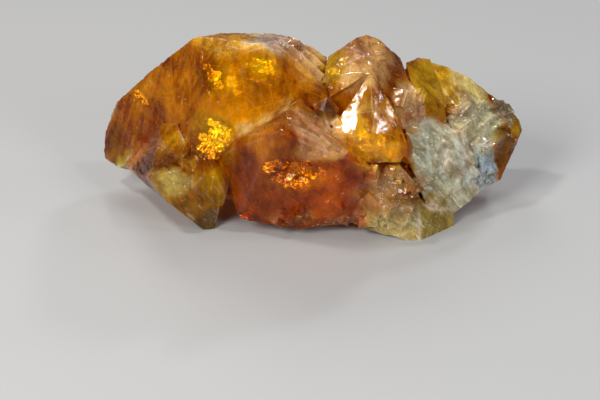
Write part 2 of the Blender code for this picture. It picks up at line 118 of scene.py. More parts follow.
# Regions of the skin: centre and reach in millimetres, colour, how cloudy, how rough,
# and how strongly crust, ledges and striations show
REGIONS = {
    "body": (None, None, (0.62, 0.19, 0.004), 0.30, 0.10, 0.0, 0.0, 0.3),
    "blade": ((-28, 6, 16), (9, 9, 12), (0.58, 0.185, 0.003), 0.34, 0.12, 0.0, 0.1, 0.8),
    "blade top": ((-21, 3, 22.5), (5, 5, 4.5), (0.84, 0.29, 0.003), 0.32, 0.12, 0.0, 0.1, 0.8),
    # blade low: the blade's colour darkened towards the bottom is painted shade
    "blade low": ((-32, 8.5, 8), (4.6, 5, 5), (0.23, 0.072, 0.001), 0.42, 0.14, 0.05, 0.1, 0.6),
    "green spot": ((-31.8, 6.6, 5.6), (1.6, 2.4, 1.6), (0.42, 0.44, 0.08), 0.85, 0.35, 0.1, 0.0, 0.0),
    "green ridge": ((-30.0, 6.2, 7.9), (1.5, 1.5, 2.4), (0.42, 0.36, 0.10), 0.75, 0.30, 0.1, 0.0, 0.0),
    "shelf": ((-24, -2, 12), (4, 5, 3), (0.16, 0.035, 0.001), 0.35, 0.14, 0.0, 0.1, 0.8),
    "shelf low": ((-27.7, -0.5, 9.0), (2.6, 4, 3.0), (0.18, 0.045, 0.001), 0.30, 0.18, 0.5, 0.8, 0.9),
    "gold plate": ((-23.4, -3.2, 14.4), (2.4, 3, 2.6), (0.68, 0.34, 0.015), 0.50, 0.12, 0.0, 0.0, 0.1),
    "pale wedge": ((-22.4, -7, 9.4), (3.6, 4, 2.4), (0.44, 0.33, 0.085), 0.72, 0.14, 0.40, 0.4, 0.1),
    "wedge tip": ((-20.4, -6.8, 5.4), (3.4, 4, 3), (0.28, 0.14, 0.02), 0.60, 0.18, 0.2, 0.2, 0.1),
    # left foot: the near-black tint at the bottom is painted shade
    "left foot": ((-17, -4.5, 1.6), (2.8, 3.2, 2.8), (0.090, 0.050, 0.026), 0.62, 0.26, 0.12, 0.3, 0.1),
    "olive wedge": ((-16.0, -7, 8.0), (3.0, 3, 3.6), (0.38, 0.20, 0.003), 0.50, 0.10, 0.05, 0.1, 0.1),
    "gold seam": ((-19.4, -4.5, 12.6), (1.8, 2, 2.0), (0.60, 0.32, 0.03), 0.40, 0.10, 0.1, 0.0, 0.1),
    # gold face: the bright yellow-orange tint is partly the crystal's colour, partly painted highlight
    # under the golden flash
    "gold face": ((-16.0, -5, 15.6), (4.0, 4, 4.8), (0.95, 0.42, 0.006), 0.09, 0.04, 0.0, 0.0, 0.0),
    "head": ((-6, -4, 25), (9, 4, 8), (0.66, 0.22, 0.003), 0.30, 0.06, 0.0, 0.0, 0.2),
    "head glint": ((-8, -3.5, 28.0), (3.6, 2.5, 2.1), (1.0, 0.54, 0.012), 0.14, 0.05, 0.0, 0.0, 0.1),
    "crest glint": ((-15.2, -2, 25.2), (2.3, 2, 2.4), (0.95, 0.38, 0.006), 0.10, 0.04, 0.0, 0.0, 0.0),
    "side glint": ((-12.2, -3.8, 24.8), (0.8, 1.2, 1.7), (0.90, 0.42, 0.01), 0.16, 0.05, 0.0, 0.0, 0.1),
    "blade glint": ((-28.1, 8.8, 17.2), (2.6, 3, 2.2), (0.95, 0.42, 0.01), 0.10, 0.05, 0.0, 0.0, 0.0),
    "red patch": ((-3.4, -4, 24.6), (2.2, 2, 2.4), (0.40, 0.085, 0.002), 0.35, 0.06, 0.0, 0.0, 0.1),
    # head top: the pale pinkish-lilac colour is painted sheen
    "head top": ((-5, 1, 31), (6.5, 4, 2.2), (0.72, 0.54, 0.50), 0.68, 0.16, 0.28, 0.4, 0.4),
    "head crest": ((-13.5, 1, 30.4), (4.5, 4, 2.0), (0.62, 0.28, 0.05), 0.40, 0.14, 0.2, 0.3, 0.4),
    # head steps: the pinkish paleness is partly the crystal's colour, partly painted sheen
    "head steps": ((-0.5, 0, 27.5), (4, 5, 4), (0.64, 0.37, 0.27), 0.58, 0.12, 0.28, 0.4, 0.6),
    # ledge low, middle and high: the pinkish-silver band, lighter towards the top, is painted sheen
    "ledge low": ((-10.0, -6.8, 18.8), (2.0, 1.6, 1.7), (0.46, 0.24, 0.10), 0.60, 0.16, 0.0, 0.1, 0.7),
    "ledge middle": ((-7.2, -6.6, 20.7), (2.0, 1.6, 1.7), (0.56, 0.33, 0.19), 0.60, 0.16, 0.0, 0.1, 0.7),
    "ledge high": ((-4.4, -6.5, 22.5), (2.0, 1.6, 1.7), (0.66, 0.42, 0.30), 0.60, 0.16, 0.0, 0.1, 0.7),
    "notch": ((2.0, -8.0, 22.9), (2.1, 2.4, 2.1), (0.085, 0.018, 0.020), 0.34, 0.14, 0.0, 0.0, 0.2),
    "wedge left": ((-10, -8, 9), (5, 5, 9), (0.32, 0.050, 0.0005), 0.34, 0.08, 0.0, 0.0, 1.3),
    "wedge": ((2, -10, 9), (8, 5, 8), (0.56, 0.085, 0.0005), 0.34, 0.08, 0.0, 0.0, 0.4),
    # wedge heart: the bright orange tint is partly the crystal's colour, partly painted highlight under
    # the crackle flash
    "wedge heart": ((-2.8, -11.4, 13.2), (5.4, 4, 4.4), (0.98, 0.29, 0.002), 0.05, 0.04, 0.1, 0.0, 0.0),
    # wedge top: the pale pinkish-mauve colour of the top face is painted sheen
    "wedge top": ((1, -11, 20), (6, 4, 3.6), (0.82, 0.45, 0.29), 0.58, 0.12, 0.12, 0.25, 0.5),
    # wedge base: the wedge's colour darkened towards the bottom is painted shade
    "wedge base": ((1, -7, 3.2), (9, 3, 3.0), (0.20, 0.035, 0.002), 0.60, 0.20, 0.45, 0.2, 0.0),
    "pale chip": ((-1.6, -8, 4.2), (2.2, 2.4, 1.5), (0.32, 0.20, 0.05), 0.75, 0.24, 0.3, 0.1, 0.0),
    "peak": ((8, -1, 28), (5, 5, 4), (0.64, 0.34, 0.31), 0.50, 0.10, 0.05, 0.1, 0.2),
    "peak cap": ((3, -0.5, 27.5), (2.4, 3, 4), (0.72, 0.37, 0.015), 0.25, 0.08, 0.0, 0.1, 0.5),
    "gem": ((9, -9, 19), (5.5, 4, 5.5), (1.0, 0.47, 0.014), 0.34, 0.03, 0.0, 0.0, 0.0),
    "gem haze": ((8.8, -8.6, 22.0), (2.6, 2.4, 2.4), (0.80, 0.50, 0.30), 0.52, 0.22, 0.0, 0.0, 0.1),
    "seam": ((15.4, -2, 20.5), (3, 3.4, 4), (0.58, 0.33, 0.23), 0.60, 0.14, 0.30, 0.3, 1.0),
    "lump": ((11.5, -9, 9), (6, 4, 5), (0.37, 0.17, 0.065), 0.54, 0.12, 0.55, 0.2, 0.0),
    "lump base": ((13.0, -9, 3.4), (4.8, 4, 4.0), (0.46, 0.36, 0.14), 0.76, 0.20, 0.4, 0.2, 0.0),
    "pale face": ((20.2, -2.4, 11.4), (5.0, 5, 6.4), (0.39, 0.40, 0.29), 0.86, 0.16, 0.12, 0.5, 0.7),
    "pale edge": ((24.6, -0.2, 9.4), (2.4, 3, 4.4), (0.41, 0.43, 0.36), 0.90, 0.22, 0.10, 0.6, 0.5),
    "pale under": ((24.2, -1.7, 3.4), (3.2, 3, 2.4), (0.38, 0.36, 0.24), 0.88, 0.24, 0.2, 0.4, 0.0),
    "foot": ((19, -6, 2.4), (4.8, 5, 4.4), (0.25, 0.180, 0.042), 0.72, 0.16, 0.15, 0.5, 0.3),
    "wing top": ((19.6, 5.5, 21), (4.4, 5, 4.0), (0.72, 0.39, 0.02), 0.38, 0.10, 0.05, 0.2, 0.5),
    "wing rim": ((25.4, 7.2, 19.6), (4.0, 3.4, 2.8), (0.56, 0.43, 0.20), 0.66, 0.18, 0.3, 0.2, 0.2),
    "wing": ((26.4, 4, 14.6), (4.6, 4, 3.8), (0.40, 0.38, 0.27), 0.70, 0.12, 0.45, 0.2, 0.0),
    "wing blue": ((27.8, 1.6, 7.6), (2.6, 3, 3.4), (0.25, 0.33, 0.38), 0.93, 0.26, 0.4, 0.2, 0.2),
    "wing amber": ((31.2, 4.8, 10.2), (2.5, 3.4, 3.6), (0.17, 0.060, 0.001), 0.42, 0.12, 0.35, 0.1, 0.0),
    "wing end": ((33.8, 8.4, 11.8), (1.4, 2.4, 1.8), (0.62, 0.33, 0.02), 0.45, 0.14, 0.2, 0.1, 0.0),
    "wing tip": ((31.8, 9.2, 14.6), (2.6, 3.4, 2.6), (0.22, 0.18, 0.115), 0.75, 0.18, 0.45, 0.2, 0.0),
    "back": ((0, 14, 10), (30, 4.5, 12), (0.50, 0.17, 0.01), 0.50, 0.20, 0.6, 0.4, 0.2),
    "pale crease": ((27.3, 0.7, 11.8), (1.7, 1.7, 1.5), (0.33, 0.34, 0.28), 0.86, 0.20, 0.3, 0.2, 0.1),
}

# How the regions blend: weight of the body, softness of the middles and sharpness of the borders
BODY_WEIGHT = 0.05
REGION_CORE = 0.15
REGION_SHARPNESS = 3.0

# How far the borders of the regions wander, and over what length, in millimetres
STRAY = 1.3
STRAY_LENGTH = 2.8

# Parts whose polish glints white: centre and reach in millimetres, and strength
GLINTS = [
    ((8.0, -8.6, 21.0), (6.0, 4.0, 6.5), 0.5),
    ((8.0, -1.0, 27.5), (5.0, 4.0, 4.0), 0.55),
    ((15.4, -2.0, 20.5), (3.2, 3.6, 4.5), 0.9),
    ((-3.0, 1.0, 30.5), (8.0, 4.0, 2.6), 0.8),
    ((20.5, -2.0, 11.0), (6.0, 5.0, 7.5), 0.6),
    ((26.4, 4.0, 14.6), (5.0, 4.0, 5.0), 0.8),
    ((12.0, -9.0, 9.0), (6.0, 4.0, 4.5), 1.0),
    ((1.0, -11.0, 20.0), (6.0, 4.0, 4.0), 0.35),
    ((-0.5, 0.0, 27.5), (4.0, 5.0, 4.0), 0.5),
]

# Sets of fine parallel cleavage lines: turn in radians, fineness and a shift in metres
CLEAVAGE = [
    ((0.3, 0.2, 0.5), 90.0, 0.031),
    ((0.2, 1.1, -0.4), 70.0, 0.057),
    ((-0.5, 0.7, 1.3), 110.0, 0.083),
]

# The way that the pale parts cleave, as a turn, and the size of the grain in metres
CLEAVED_TURN = Vector((0.60, 0.18, -0.78)).to_track_quat("Z", "Y").to_euler()
CLEAVED_SCALE = (0.0011, 0.0011, 0.0060)

# Crumpled cracks inside: centre, the way they face, reach and size of their crumples
LEAVES = [
    ((-15.3, -4.7, 16.0), (-0.35, -0.87, 0.38), 2.6, 0.55),
    ((-16.4, -4.3, 14.6), (-0.32, -0.86, 0.42), 2.0, 0.5),
    ((-14.1, -4.8, 17.7), (-0.38, -0.86, 0.36), 1.8, 0.5),
    ((-13.4, -5.4, 16.4), (-0.30, -0.88, 0.40), 1.3, 0.6),
    ((-16.9, -4.2, 13.2), (-0.35, -0.84, 0.44), 1.2, 0.5),
    ((-15.5, -0.9, 25.4), (-0.38, -0.82, 0.42), 1.9, 0.55),
    ((-14.7, -1.9, 24.2), (-0.33, -0.85, 0.40), 1.2, 0.5),
    ((-16.4, -0.1, 26.4), (-0.20, -0.84, 0.50), 1.1, 0.5),
    ((-12.5, -2.8, 25.2), (-0.31, -0.86, 0.41), 1.6, 0.7),
    ((-11.7, -3.7, 23.8), (-0.33, -0.86, 0.40), 0.9, 0.5),
    ((-9.0, -2.1, 28.3), (-0.18, -0.90, 0.42), 1.7, 0.7),
    ((-7.4, -2.4, 27.5), (-0.16, -0.90, 0.42), 1.9, 0.55),
    ((-6.2, -2.1, 28.4), (-0.20, -0.89, 0.42), 1.0, 0.5),
    ((-10.3, -2.3, 27.8), (-0.20, -0.90, 0.40), 0.9, 0.4),
    ((-2.2, -10.4, 14.4), (-0.18, -0.95, 0.22), 2.3, 0.5),
    ((-0.3, -10.4, 13.2), (-0.26, -0.90, 0.32), 1.7, 0.6),
    ((-3.6, -10.4, 12.8), (-0.10, -0.90, 0.42), 1.4, 0.6),
    ((-5.4, -10.8, 15.2), (-0.24, -0.94, 0.20), 1.2, 0.5),
    ((-1.2, -10.6, 15.6), (-0.30, -0.92, 0.20), 1.3, 0.5),
    ((-4.6, -11.2, 13.4), (-0.05, -0.98, 0.18), 1.2, 0.5),
    ((1.4, -10.2, 12.6), (-0.34, -0.90, 0.24), 1.2, 0.5),
    ((-6.3, -12.0, 15.6), (-0.24, -0.94, 0.20), 1.2, 0.45),
    ((-4.3, -12.0, 15.4), (-0.10, -0.96, 0.24), 1.3, 0.45),
    ((-2.6, -12.2, 15.6), (-0.30, -0.92, 0.24), 1.0, 0.4),
    ((9.4, -8.8, 17.2), (-0.12, -0.92, 0.37), 2.6, 0.6),
    ((8.0, -9.2, 19.0), (-0.16, -0.90, 0.40), 1.6, 0.5),
    ((-15.0, -4.9, 15.0), (-0.28, -0.90, 0.34), 1.7, 0.4),
    ((-17.2, -4.0, 16.2), (-0.40, -0.84, 0.38), 1.4, 0.4),
    ((-13.6, -5.2, 17.6), (-0.30, -0.88, 0.38), 1.4, 0.4),
    ((-15.8, -4.4, 18.8), (-0.36, -0.84, 0.42), 1.2, 0.4),
    ((-16.0, -4.8, 13.4), (-0.30, -0.86, 0.42), 1.2, 0.35),
    ((-3.6, -10.2, 11.4), (-0.20, -0.93, 0.30), 1.7, 0.4),
    ((-5.6, -10.2, 12.2), (-0.26, -0.90, 0.34), 1.5, 0.4),
    ((-1.4, -10.0, 11.0), (-0.16, -0.93, 0.32), 1.5, 0.4),
    ((0.9, -10.6, 13.8), (-0.24, -0.92, 0.30), 1.4, 0.4),
    ((-6.8, -11.2, 14.4), (-0.30, -0.92, 0.24), 1.3, 0.4),
    ((-2.8, -12.0, 15.0), (-0.14, -0.94, 0.30), 1.6, 0.4),
    ((-28.9, 9.9, 17.0), (-0.44, -0.78, 0.44), 1.6, 0.45),
    ((-26.6, 8.6, 16.4), (-0.40, -0.80, 0.44), 1.2, 0.4),
    ((-5.4, -12.4, 16.2), (-0.26, -0.90, 0.34), 1.1, 0.4),
    ((-3.4, -11.8, 13.6), (-0.20, -0.90, 0.38), 1.3, 0.4),
    ((-0.6, -11.3, 14.4), (-0.28, -0.88, 0.36), 1.2, 0.4),
    ((-27.7, 9.3, 17.2), (-0.48, -0.76, 0.44), 1.2, 0.5),
    ((-29.3, 11.4, 16.5), (-0.48, -0.76, 0.44), 0.8, 0.4),
    ((4.7, -9.1, 18.0), (-0.32, -0.90, 0.28), 1.0, 0.4),
    ((-0.1, -12.7, 18.1), (-0.16, -0.95, 0.25), 0.9, 0.4),
    ((1.4, -12.1, 17.0), (-0.18, -0.94, 0.26), 0.8, 0.4),
    ((4.8, 0.1, 27.5), (-0.34, -0.80, 0.50), 1.1, 0.5),
    ((3.5, -0.7, 25.9), (-0.34, -0.80, 0.50), 1.3, 0.6),
    ((-22.2, -2.6, 13.1), (-0.34, -0.79, 0.50), 1.0, 0.5),
    ((9.5, -9.5, 16.9), (-0.08, -0.96, 0.26), 1.5, 0.6),
    ((11.8, -8.9, 16.8), (-0.04, -0.96, 0.28), 0.8, 0.4),
    ((20.6, 8.5, 21.0), (-0.16, -0.82, 0.55), 1.3, 0.6),
    ((32.0, 6.6, 10.4), (0.20, -0.86, 0.46), 1.1, 0.5),
]

# Form of a crack: rings and steps of its mesh, half thickness and least depth in millimetres,
# its raggedness (least reach, spread, fineness), squash, height and lengths of the folds, and seeds
LEAF_RINGS = 18
LEAF_STEPS = 40
LEAF_THICK = 0.02
LEAF_DEPTH = 0.25
LEAF_RAGGED = (0.75, 0.5, 1.3)
LEAF_SQUASH = 0.72
LEAF_HEIGHT = 0.28
LEAF_FOLDS = (0.9, 0.4)
LEAF_SEEDS = (3.7, 0.9)

# Flakes scattered under the faces: how many, tries for each, seed, sizes, depths and margin in
# millimetres, lean, corners, raggedness and thickness
FLAKES = 1500
FLAKE_TRIES = 2
FLAKE_SEED = 11
FLAKE_SIZES = (0.06, 0.30)
FLAKE_DEPTHS = (0.5, 2.6)
FLAKE_MARGIN = 0.1
FLAKE_LEAN = 0.6
FLAKE_CORNERS = 5
FLAKE_RAGGED = (0.6, 1.0)
FLAKE_THICK = 0.12

# Swarms of flakes behind the glittering places: centre, reach and number, and the way they lean
SWARMS = [
    ((-3.6, -11.6, 14.4), 3.0, 300),
    ((-15.8, -4.4, 15.6), 3.0, 130),
    ((-8.0, -2.0, 27.8), 2.8, 90),
    ((-14.2, -1.8, 25.0), 3.2, 70),
    ((-28.4, 9.4, 16.6), 2.8, 50),
    ((-21.0, -2.4, 14.6), 2.4, 40),
    ((9.8, -9.4, 17.0), 3.0, 50),
    ((1.2, -11.6, 17.4), 2.0, 40),
    ((20.4, 8.0, 20.6), 3.0, 40),
]
SWARM_WAY = Vector((-0.24, -0.87, 0.43))
SWARM_SPREAD = 0.5

# Rays that tell inside from outside: their ways, the most crossings counted and a step in metres
RAY_WAYS = (Vector((0.13, 0.21, 0.97)), Vector((-0.88, 0.37, 0.29)))
RAY_CROSSINGS = 60
RAY_STEP = 1e-6

# Fineness of the material's noises in cells per metre, or in their own units for the streaks,
# the cleaved grain and the flecks, whose space is stretched
CELLS = {
    "crack": 700.0, "patches": 130.0, "roughness": 900.0, "streaks": 1.5, "cleaved grain": 1.0,
    "grain": 420.0, "amber": 260.0, "speckle": 2300.0, "vein patches": 190.0, "dust": 620.0,
    "dust patches": 210.0, "flecks": 1.6, "grit": 1700.0, "grit patches": 300.0, "worn_and_sheen": 160.0,
    "bump": 1500.0,
}
STREAK_SCALE = (620.0, 620.0, 80.0)

# What the material multiplies a region's colour by: streaks, rich patches, dark and pale grain,
# clear parts, dark and pale speckle, and veins in pale and in clear parts
STREAK = (0.42, 0.15, 0.07)
RICH = (1.5, 1.9, 1.5)
GRAIN_DARK = (0.55, 0.42, 0.24)
GRAIN_PALE = (1.42, 1.46, 1.55)
CLEAR = (1.0, 0.96, 0.25)
SPECKLE_DARK = (0.88, 0.84, 0.80)
SPECKLE_PALE = (1.12, 1.16, 1.20)
VEIN_PALE = (1.45, 1.48, 1.40, 1.0)
VEIN_CLEAR = (1.7, 2.2, 3.0, 1.0)

# Colours that the material lays over it
AMBER = (0.34, 0.15, 0.02, 1.0)
DUST = (0.80, 0.68, 0.50, 1.0)
FLECK = (0.80, 0.77, 0.62, 1.0)
GRIT = (0.86, 0.80, 0.66, 1.0)
# Pale pinkish colour along the creases: partly worn chips, partly painted edge sheen
WORN_AND_SHEEN = (0.74, 0.57, 0.46, 1.0)
CRACK_COLOURS = ((1.0, 0.88, 0.14, 1.0), (1.0, 0.97, 0.56, 1.0))
CRACK_METALLIC = 0.85

# The crystal's bump, its uniform shader values, and the light that its inside absorbs
BUMP_STRENGTH = 0.35
BUMP_DISTANCE = 0.00012
BUMP_GRAINS = 2.4
UNIFORM = {
    "IOR": 1.38,
    "Specular Tint": (1.0, 0.72, 0.44, 1.0),
    "Specular IOR Level": 0.32,
    "Coat Roughness": 0.08,
    "Subsurface Weight": 0.3,
    "Subsurface Radius": (1.0, 0.35, 0.08),
    "Subsurface Scale": 0.003,
}
INSIDE_COLOUR = (0.97, 0.85, 0.03, 1.0)
INSIDE_DENSITY = 320.0


def placed(name, data):
    """A new object in the scene."""
    made = bpy.data.objects.new(name, data)
    bpy.context.scene.collection.objects.link(made)
    return made


def camera():
    """The camera at the photograph's viewing angle."""
    pitch = math.radians(VIEW_PITCH)
    ahead = Vector((0.0, math.cos(pitch), -math.sin(pitch)))
    above = Vector((0.0, math.sin(pitch), math.cos(pitch)))
    made = placed("camera", bpy.data.cameras.new("camera"))
    made.location = above * VIEW_LIFT - ahead * VIEW_DISTANCE - Vector((VIEW_LEFT, VIEW_BACK, 0.0))
    made.rotation_euler = (math.pi / 2 - pitch, 0.0, 0.0)
    made.data.sensor_width = SENSOR
    made.data.lens = LENS
    made.data.clip_start = CLIP_START
    bpy.context.scene.camera = made


def softbox(name, place, aim, size, power, colour):
    """A square light that looks at a point."""
    light = bpy.data.lights.new(name, "AREA")
    light.size = size
    light.energy = power
    light.color = colour
    made = placed(name, light)
    made.location = place
    made.rotation_euler = (Vector(aim) - Vector(place)).to_track_quat("-Z", "Y").to_euler()


def studio():
    """Plain pale floor, pale surround and soft lights."""
    bm = bmesh.new()
    bmesh.ops.create_grid(bm, x_segments=1, y_segments=1, size=FLOOR_REACH)
    mesh = bpy.data.meshes.new("floor")
    bm.to_mesh(mesh)
    bm.free()
    floor = placed("floor", mesh)
    material = bpy.data.materials.new("floor")
    material.use_nodes = True
    shader = material.node_tree.nodes["Principled BSDF"]
    shader.inputs["Base Color"].default_value = FLOOR_COLOUR
    shader.inputs["Roughness"].default_value = FLOOR_ROUGHNESS
    mesh.materials.append(material)
    world = bpy.data.worlds.new("surround")
    world.use_nodes = True
    background = world.node_tree.nodes["Background"]
    background.inputs["Color"].default_value = SURROUND_COLOUR
    background.inputs["Strength"].default_value = SURROUND_STRENGTH
    bpy.context.scene.world = world
    for name, values in LIGHTS.items():
        softbox(name, *values)


def mesh_points(mesh):
    """The points of a mesh as an array."""
    flat = np.empty(len(mesh.vertices) * 3)
    mesh.vertices.foreach_get("co", flat)
    return flat.reshape(-1, 3)


def evaluated_mesh(made):
    """The mesh of an object with its modifiers applied."""
    bpy.context.view_layer.update()
    evaluated = made.evaluated_get(bpy.context.evaluated_depsgraph_get())
    return bpy.data.meshes.new_from_object(evaluated)


def remeshed(source):
    """A closed, evenly meshed copy of a CAD node that keeps its sharp edges, and the welded node."""
    bm = bmesh.new()
    bm.from_mesh(source.data)
    bmesh.ops.remove_doubles(bm, verts=bm.verts, dist=WELD)
    mesh = bpy.data.meshes.new("skin")
    bm.to_mesh(mesh)
    bm.free()
    work = placed("skin work", mesh)
    remesh = work.modifiers.new("remesh", "REMESH")
    remesh.mode = "SHARP"
    remesh.octree_depth = OCTREE_DEPTH
    remesh.scale = OCTREE_SCALE
    remesh.use_remove_disconnected = False
    result = evaluated_mesh(work)
    bpy.data.objects.remove(work, do_unlink=True)
    return result, mesh


def crease_tree(mesh):
    """A tree of points along the sharp edges of the solid."""
    bm = bmesh.new()
    bm.from_mesh(mesh)
    points = []
    for edge in bm.edges:
        if len(edge.link_faces) == 2 and edge.calc_face_angle(0.0) > math.radians(CREASE_ANGLE):
            start, end = edge.verts[0].co, edge.verts[1].co
            steps = max(1, int((end - start).length / (CREASE_STEP * MM)))
            points += [start.lerp(end, step / steps) for step in range(steps + 1)]
    bm.free()
    tree = KDTree(len(points))
    for number, point in enumerate(points):
        tree.insert(point, number)
    tree.balance()
    return tree


def strayed(spots):
    """The spots moved a little, so that the borders of the regions wander."""
    moves = [noise.noise_vector(Vector(spot) / STRAY_LENGTH) for spot in spots]
    return spots + STRAY * np.array(moves)


def region_values(spots):
    """Colour, cloud, roughness, crust, ledge and striation at each spot, blended from the regions."""
    spots = strayed(spots)
    total = np.full(len(spots), BODY_WEIGHT)
    base = REGIONS["body"]
    values = np.tile(np.array(list(base[2]) + list(base[3:])), (len(spots), 1)) * total[:, None]
    for centre, reach, colour, *rest in REGIONS.values():
        if centre is None:
            continue
        away = (((spots - centre) / reach) ** 2).sum(axis=1)
        weight = np.exp(-(away ** REGION_SHARPNESS)) / (REGION_CORE + away)
        values += weight[:, None] * np.array(list(colour) + rest)
        total += weight
    return values / total[:, None]


def glint_values(spots):
    """How strongly the polish glints white at each spot."""
    values = np.zeros(len(spots))
    for centre, reach, strength in GLINTS:
        away = (((spots - centre) / reach) ** 2).sum(axis=1)
        values = np.maximum(values, strength * np.exp(-(away ** REGION_SHARPNESS)))
    return values


def crust_height(spot, height, length):
    """Height of small tilted facets that meet at sharp joints, as intergrown grains have."""
    place = spot / length
    seat = Vector(noise.voronoi(place)[1][0])
    tilt = noise.cell_vector(seat * TILT_SEED) - Vector((0.5, 0.5, 0.5))
    level = noise.cell(seat * LEVEL_SEED + LEVEL_SHIFT)
    return height * (CRUST_LEVEL * level + CRUST_TILT * tilt.dot(place - seat))


def stairs(spot, along, height, length, stray):
    """Height of a flight of low steps that run across a direction."""
    run = spot.dot(along) / length + stray * noise.noise(spot / (STAIR_SWAY * length))
    part = run - math.floor(run)
    drop = 1.0 - STAIR_DROP
    return height * (part / drop if part < drop else (1.0 - part) / STAIR_DROP) - 0.5 * height


def relief(spot, near, crust, ledge, striation):
    """Height of the skin over the solid at a spot, in millimetres."""
    height = WAVE[0] * noise.noise(spot / WAVE[1]) + RIPPLE[0] * noise.noise(spot / RIPPLE[1])
    if crust > FAINT:
        height += crust * sum(crust_height(spot, *size) for size in CRUST)
    if ledge > FAINT:
        height += ledge * stairs(spot, *LEDGE)
    if striation > FAINT:
        height += striation * stairs(spot, *STRIATION)
    patchy = 0.5 + noise.noise(spot / CHIP_PATCH)
    return height - near * patchy * CHIP[0] * max(0.0, noise.noise(spot / CHIP[1]) + CHIP_SHARE)


def attribute(mesh, name, values):
    """Stores one value for each point of the mesh."""
    made = mesh.attributes.new(name, "FLOAT", "POINT")
    made.data.foreach_set("value", np.asarray(values, np.float32))


def skin_mesh():
    """The skin: the solid meshed finely, with wavy faces, chipped edges and rough patches."""
    mesh, solid = remeshed(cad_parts[NODE])
    places = mesh_points(mesh)
    normals = np.empty(len(places) * 3)
    mesh.vertices.foreach_get("normal", normals)
    normals = normals.reshape(-1, 3)
    creases = crease_tree(solid)
    spots = places / MM - SHIFT
    values = region_values(spots)
    push = np.zeros(len(places))
    edge = np.zeros(len(places))
    for number, place in enumerate(places):
        distance = creases.find(place)[2] / MM
        near = math.exp(-((distance / CHIP_REACH) ** 2))
        edge[number] = math.exp(-((distance / EDGE_REACH) ** 2))
        push[number] = relief(Vector(spots[number]), near, *values[number, 5:8])
    places += normals * (push * MM)[:, None]
    places[:, 2] = np.maximum(places[:, 2], 0.0)
    mesh.vertices.foreach_set("co", places.ravel())
    mesh.update()
    attribute(mesh, "edge", edge)
    bpy.data.meshes.remove(solid)
    return mesh


def thinned(name, mesh, triangles):
    """An object of the mesh with at most so many triangles, most of them where it bends."""
    made = placed(name, mesh)
    thin = made.modifiers.new("thin", "DECIMATE")
    thin.ratio = min(1.0, triangles / (2.0 * len(mesh.polygons)))
    result = evaluated_mesh(made)
    made.modifiers.clear()
    made.data = result
    return made


def dressed(skin):
    """Gives the skin's points the values that its material reads."""
    mesh = skin.data
    spots = mesh_points(mesh) / MM - SHIFT
    values = region_values(spots)
    colours = mesh.color_attributes.new("tint", "FLOAT_COLOR", "POINT")
    rgba = np.concatenate([values[:, :3], np.ones((len(values), 1))], axis=1)
    colours.data.foreach_set("color", rgba.astype(np.float32).ravel())
    attribute(mesh, "cloud", values[:, 3])
    attribute(mesh, "gloss", values[:, 4])
    attribute(mesh, "crust", values[:, 5])
    attribute(mesh, "glint", glint_values(spots))


def leaf(bm, centre, facing, reach, crumple, seed):
    """One crumpled crack inside the crystal, as thin as foil and closed all round."""
    turn = facing.to_track_quat("Z", "Y").to_matrix()

    def point(ring, step, side):
        angle = 2.0 * math.pi * step / LEAF_STEPS
        way = Vector((math.cos(angle), math.sin(angle), 0.0))
        least, spread, fineness = LEAF_RAGGED
        ragged = least + spread * noise.noise(way * fineness + Vector((seed, 0.0, 0.0)))
        flat = way * (reach * ragged * ring / LEAF_RINGS)
        flat.y *= LEAF_SQUASH
        bend = noise.noise_vector(flat / (LEAF_FOLDS[0] * crumple) + Vector((0.0, seed, 0.0)))
        fold = bend.x + 0.5 * noise.noise(flat / (LEAF_FOLDS[1] * crumple) + bend)
        height = LEAF_HEIGHT * crumple * fold + side * LEAF_THICK * (1.0 - ring / LEAF_RINGS)
        return bm.verts.new((centre + turn @ (flat + Vector((0.0, 0.0, height)))) * MM)

    rim = [point(LEAF_RINGS, step, 0.0) for step in range(LEAF_STEPS)]
    for side in (1.0, -1.0):
        rows = [[point(0, 0, side)] * LEAF_STEPS]
        rows += [[point(ring, step, side) for step in range(LEAF_STEPS)] for ring in range(1, LEAF_RINGS)]
        rows.append(rim)
        for inner, outer in zip(rows, rows[1:]):
            for step in range(LEAF_STEPS):
                after = (step + 1) % LEAF_STEPS
                corners = [inner[step], outer[step], outer[after], inner[after]]
                corners = list(dict.fromkeys(corners))
                bm.faces.new(corners if side > 0.0 else corners[::-1])


def inner_leaves(tree):
    """The crumpled cracks whose golden flashes show through the faces."""
    bm = bmesh.new()
    for number, (centre, facing, reach, crumple) in enumerate(LEAVES):
        seed = LEAF_SEEDS[0] * number + LEAF_SEEDS[1]
        leaf(bm, Vector(centre) + Vector(SHIFT), Vector(facing), reach, crumple, seed)
    for vert in bm.verts:
        place, normal = tree.find_nearest(vert.co)[:2]
        if (vert.co - place).dot(normal) > -LEAF_DEPTH * MM:
            vert.co = place - normal * LEAF_DEPTH * MM
    mesh = bpy.data.meshes.new("inner cracks")
    bm.to_mesh(mesh)
    bm.free()
    return placed("inner_cracks", mesh)


def skin_tree(skin):
    """A search tree of the skin's faces, and each face's middle and normal."""
    bm = bmesh.new()
    bm.from_mesh(skin.data)
    bmesh.ops.triangulate(bm, faces=bm.faces)
    tree = BVHTree.FromBMesh(bm)
    seats = [(face.calc_center_median(), face.normal.copy()) for face in bm.faces]
    bm.free()
    return tree, seats


def buried(tree, place):
    """Whether a place is inside the skin: rays from it cross the skin an odd number of times."""
    for way in RAY_WAYS:
        start = place.copy()
        crossings = 0
        while crossings < RAY_CROSSINGS:
            hit = tree.ray_cast(start, way)[0]
            if hit is None:
                break
            crossings += 1
            start = hit + way * RAY_STEP
        if crossings % 2 == 0:
            return False
    return True


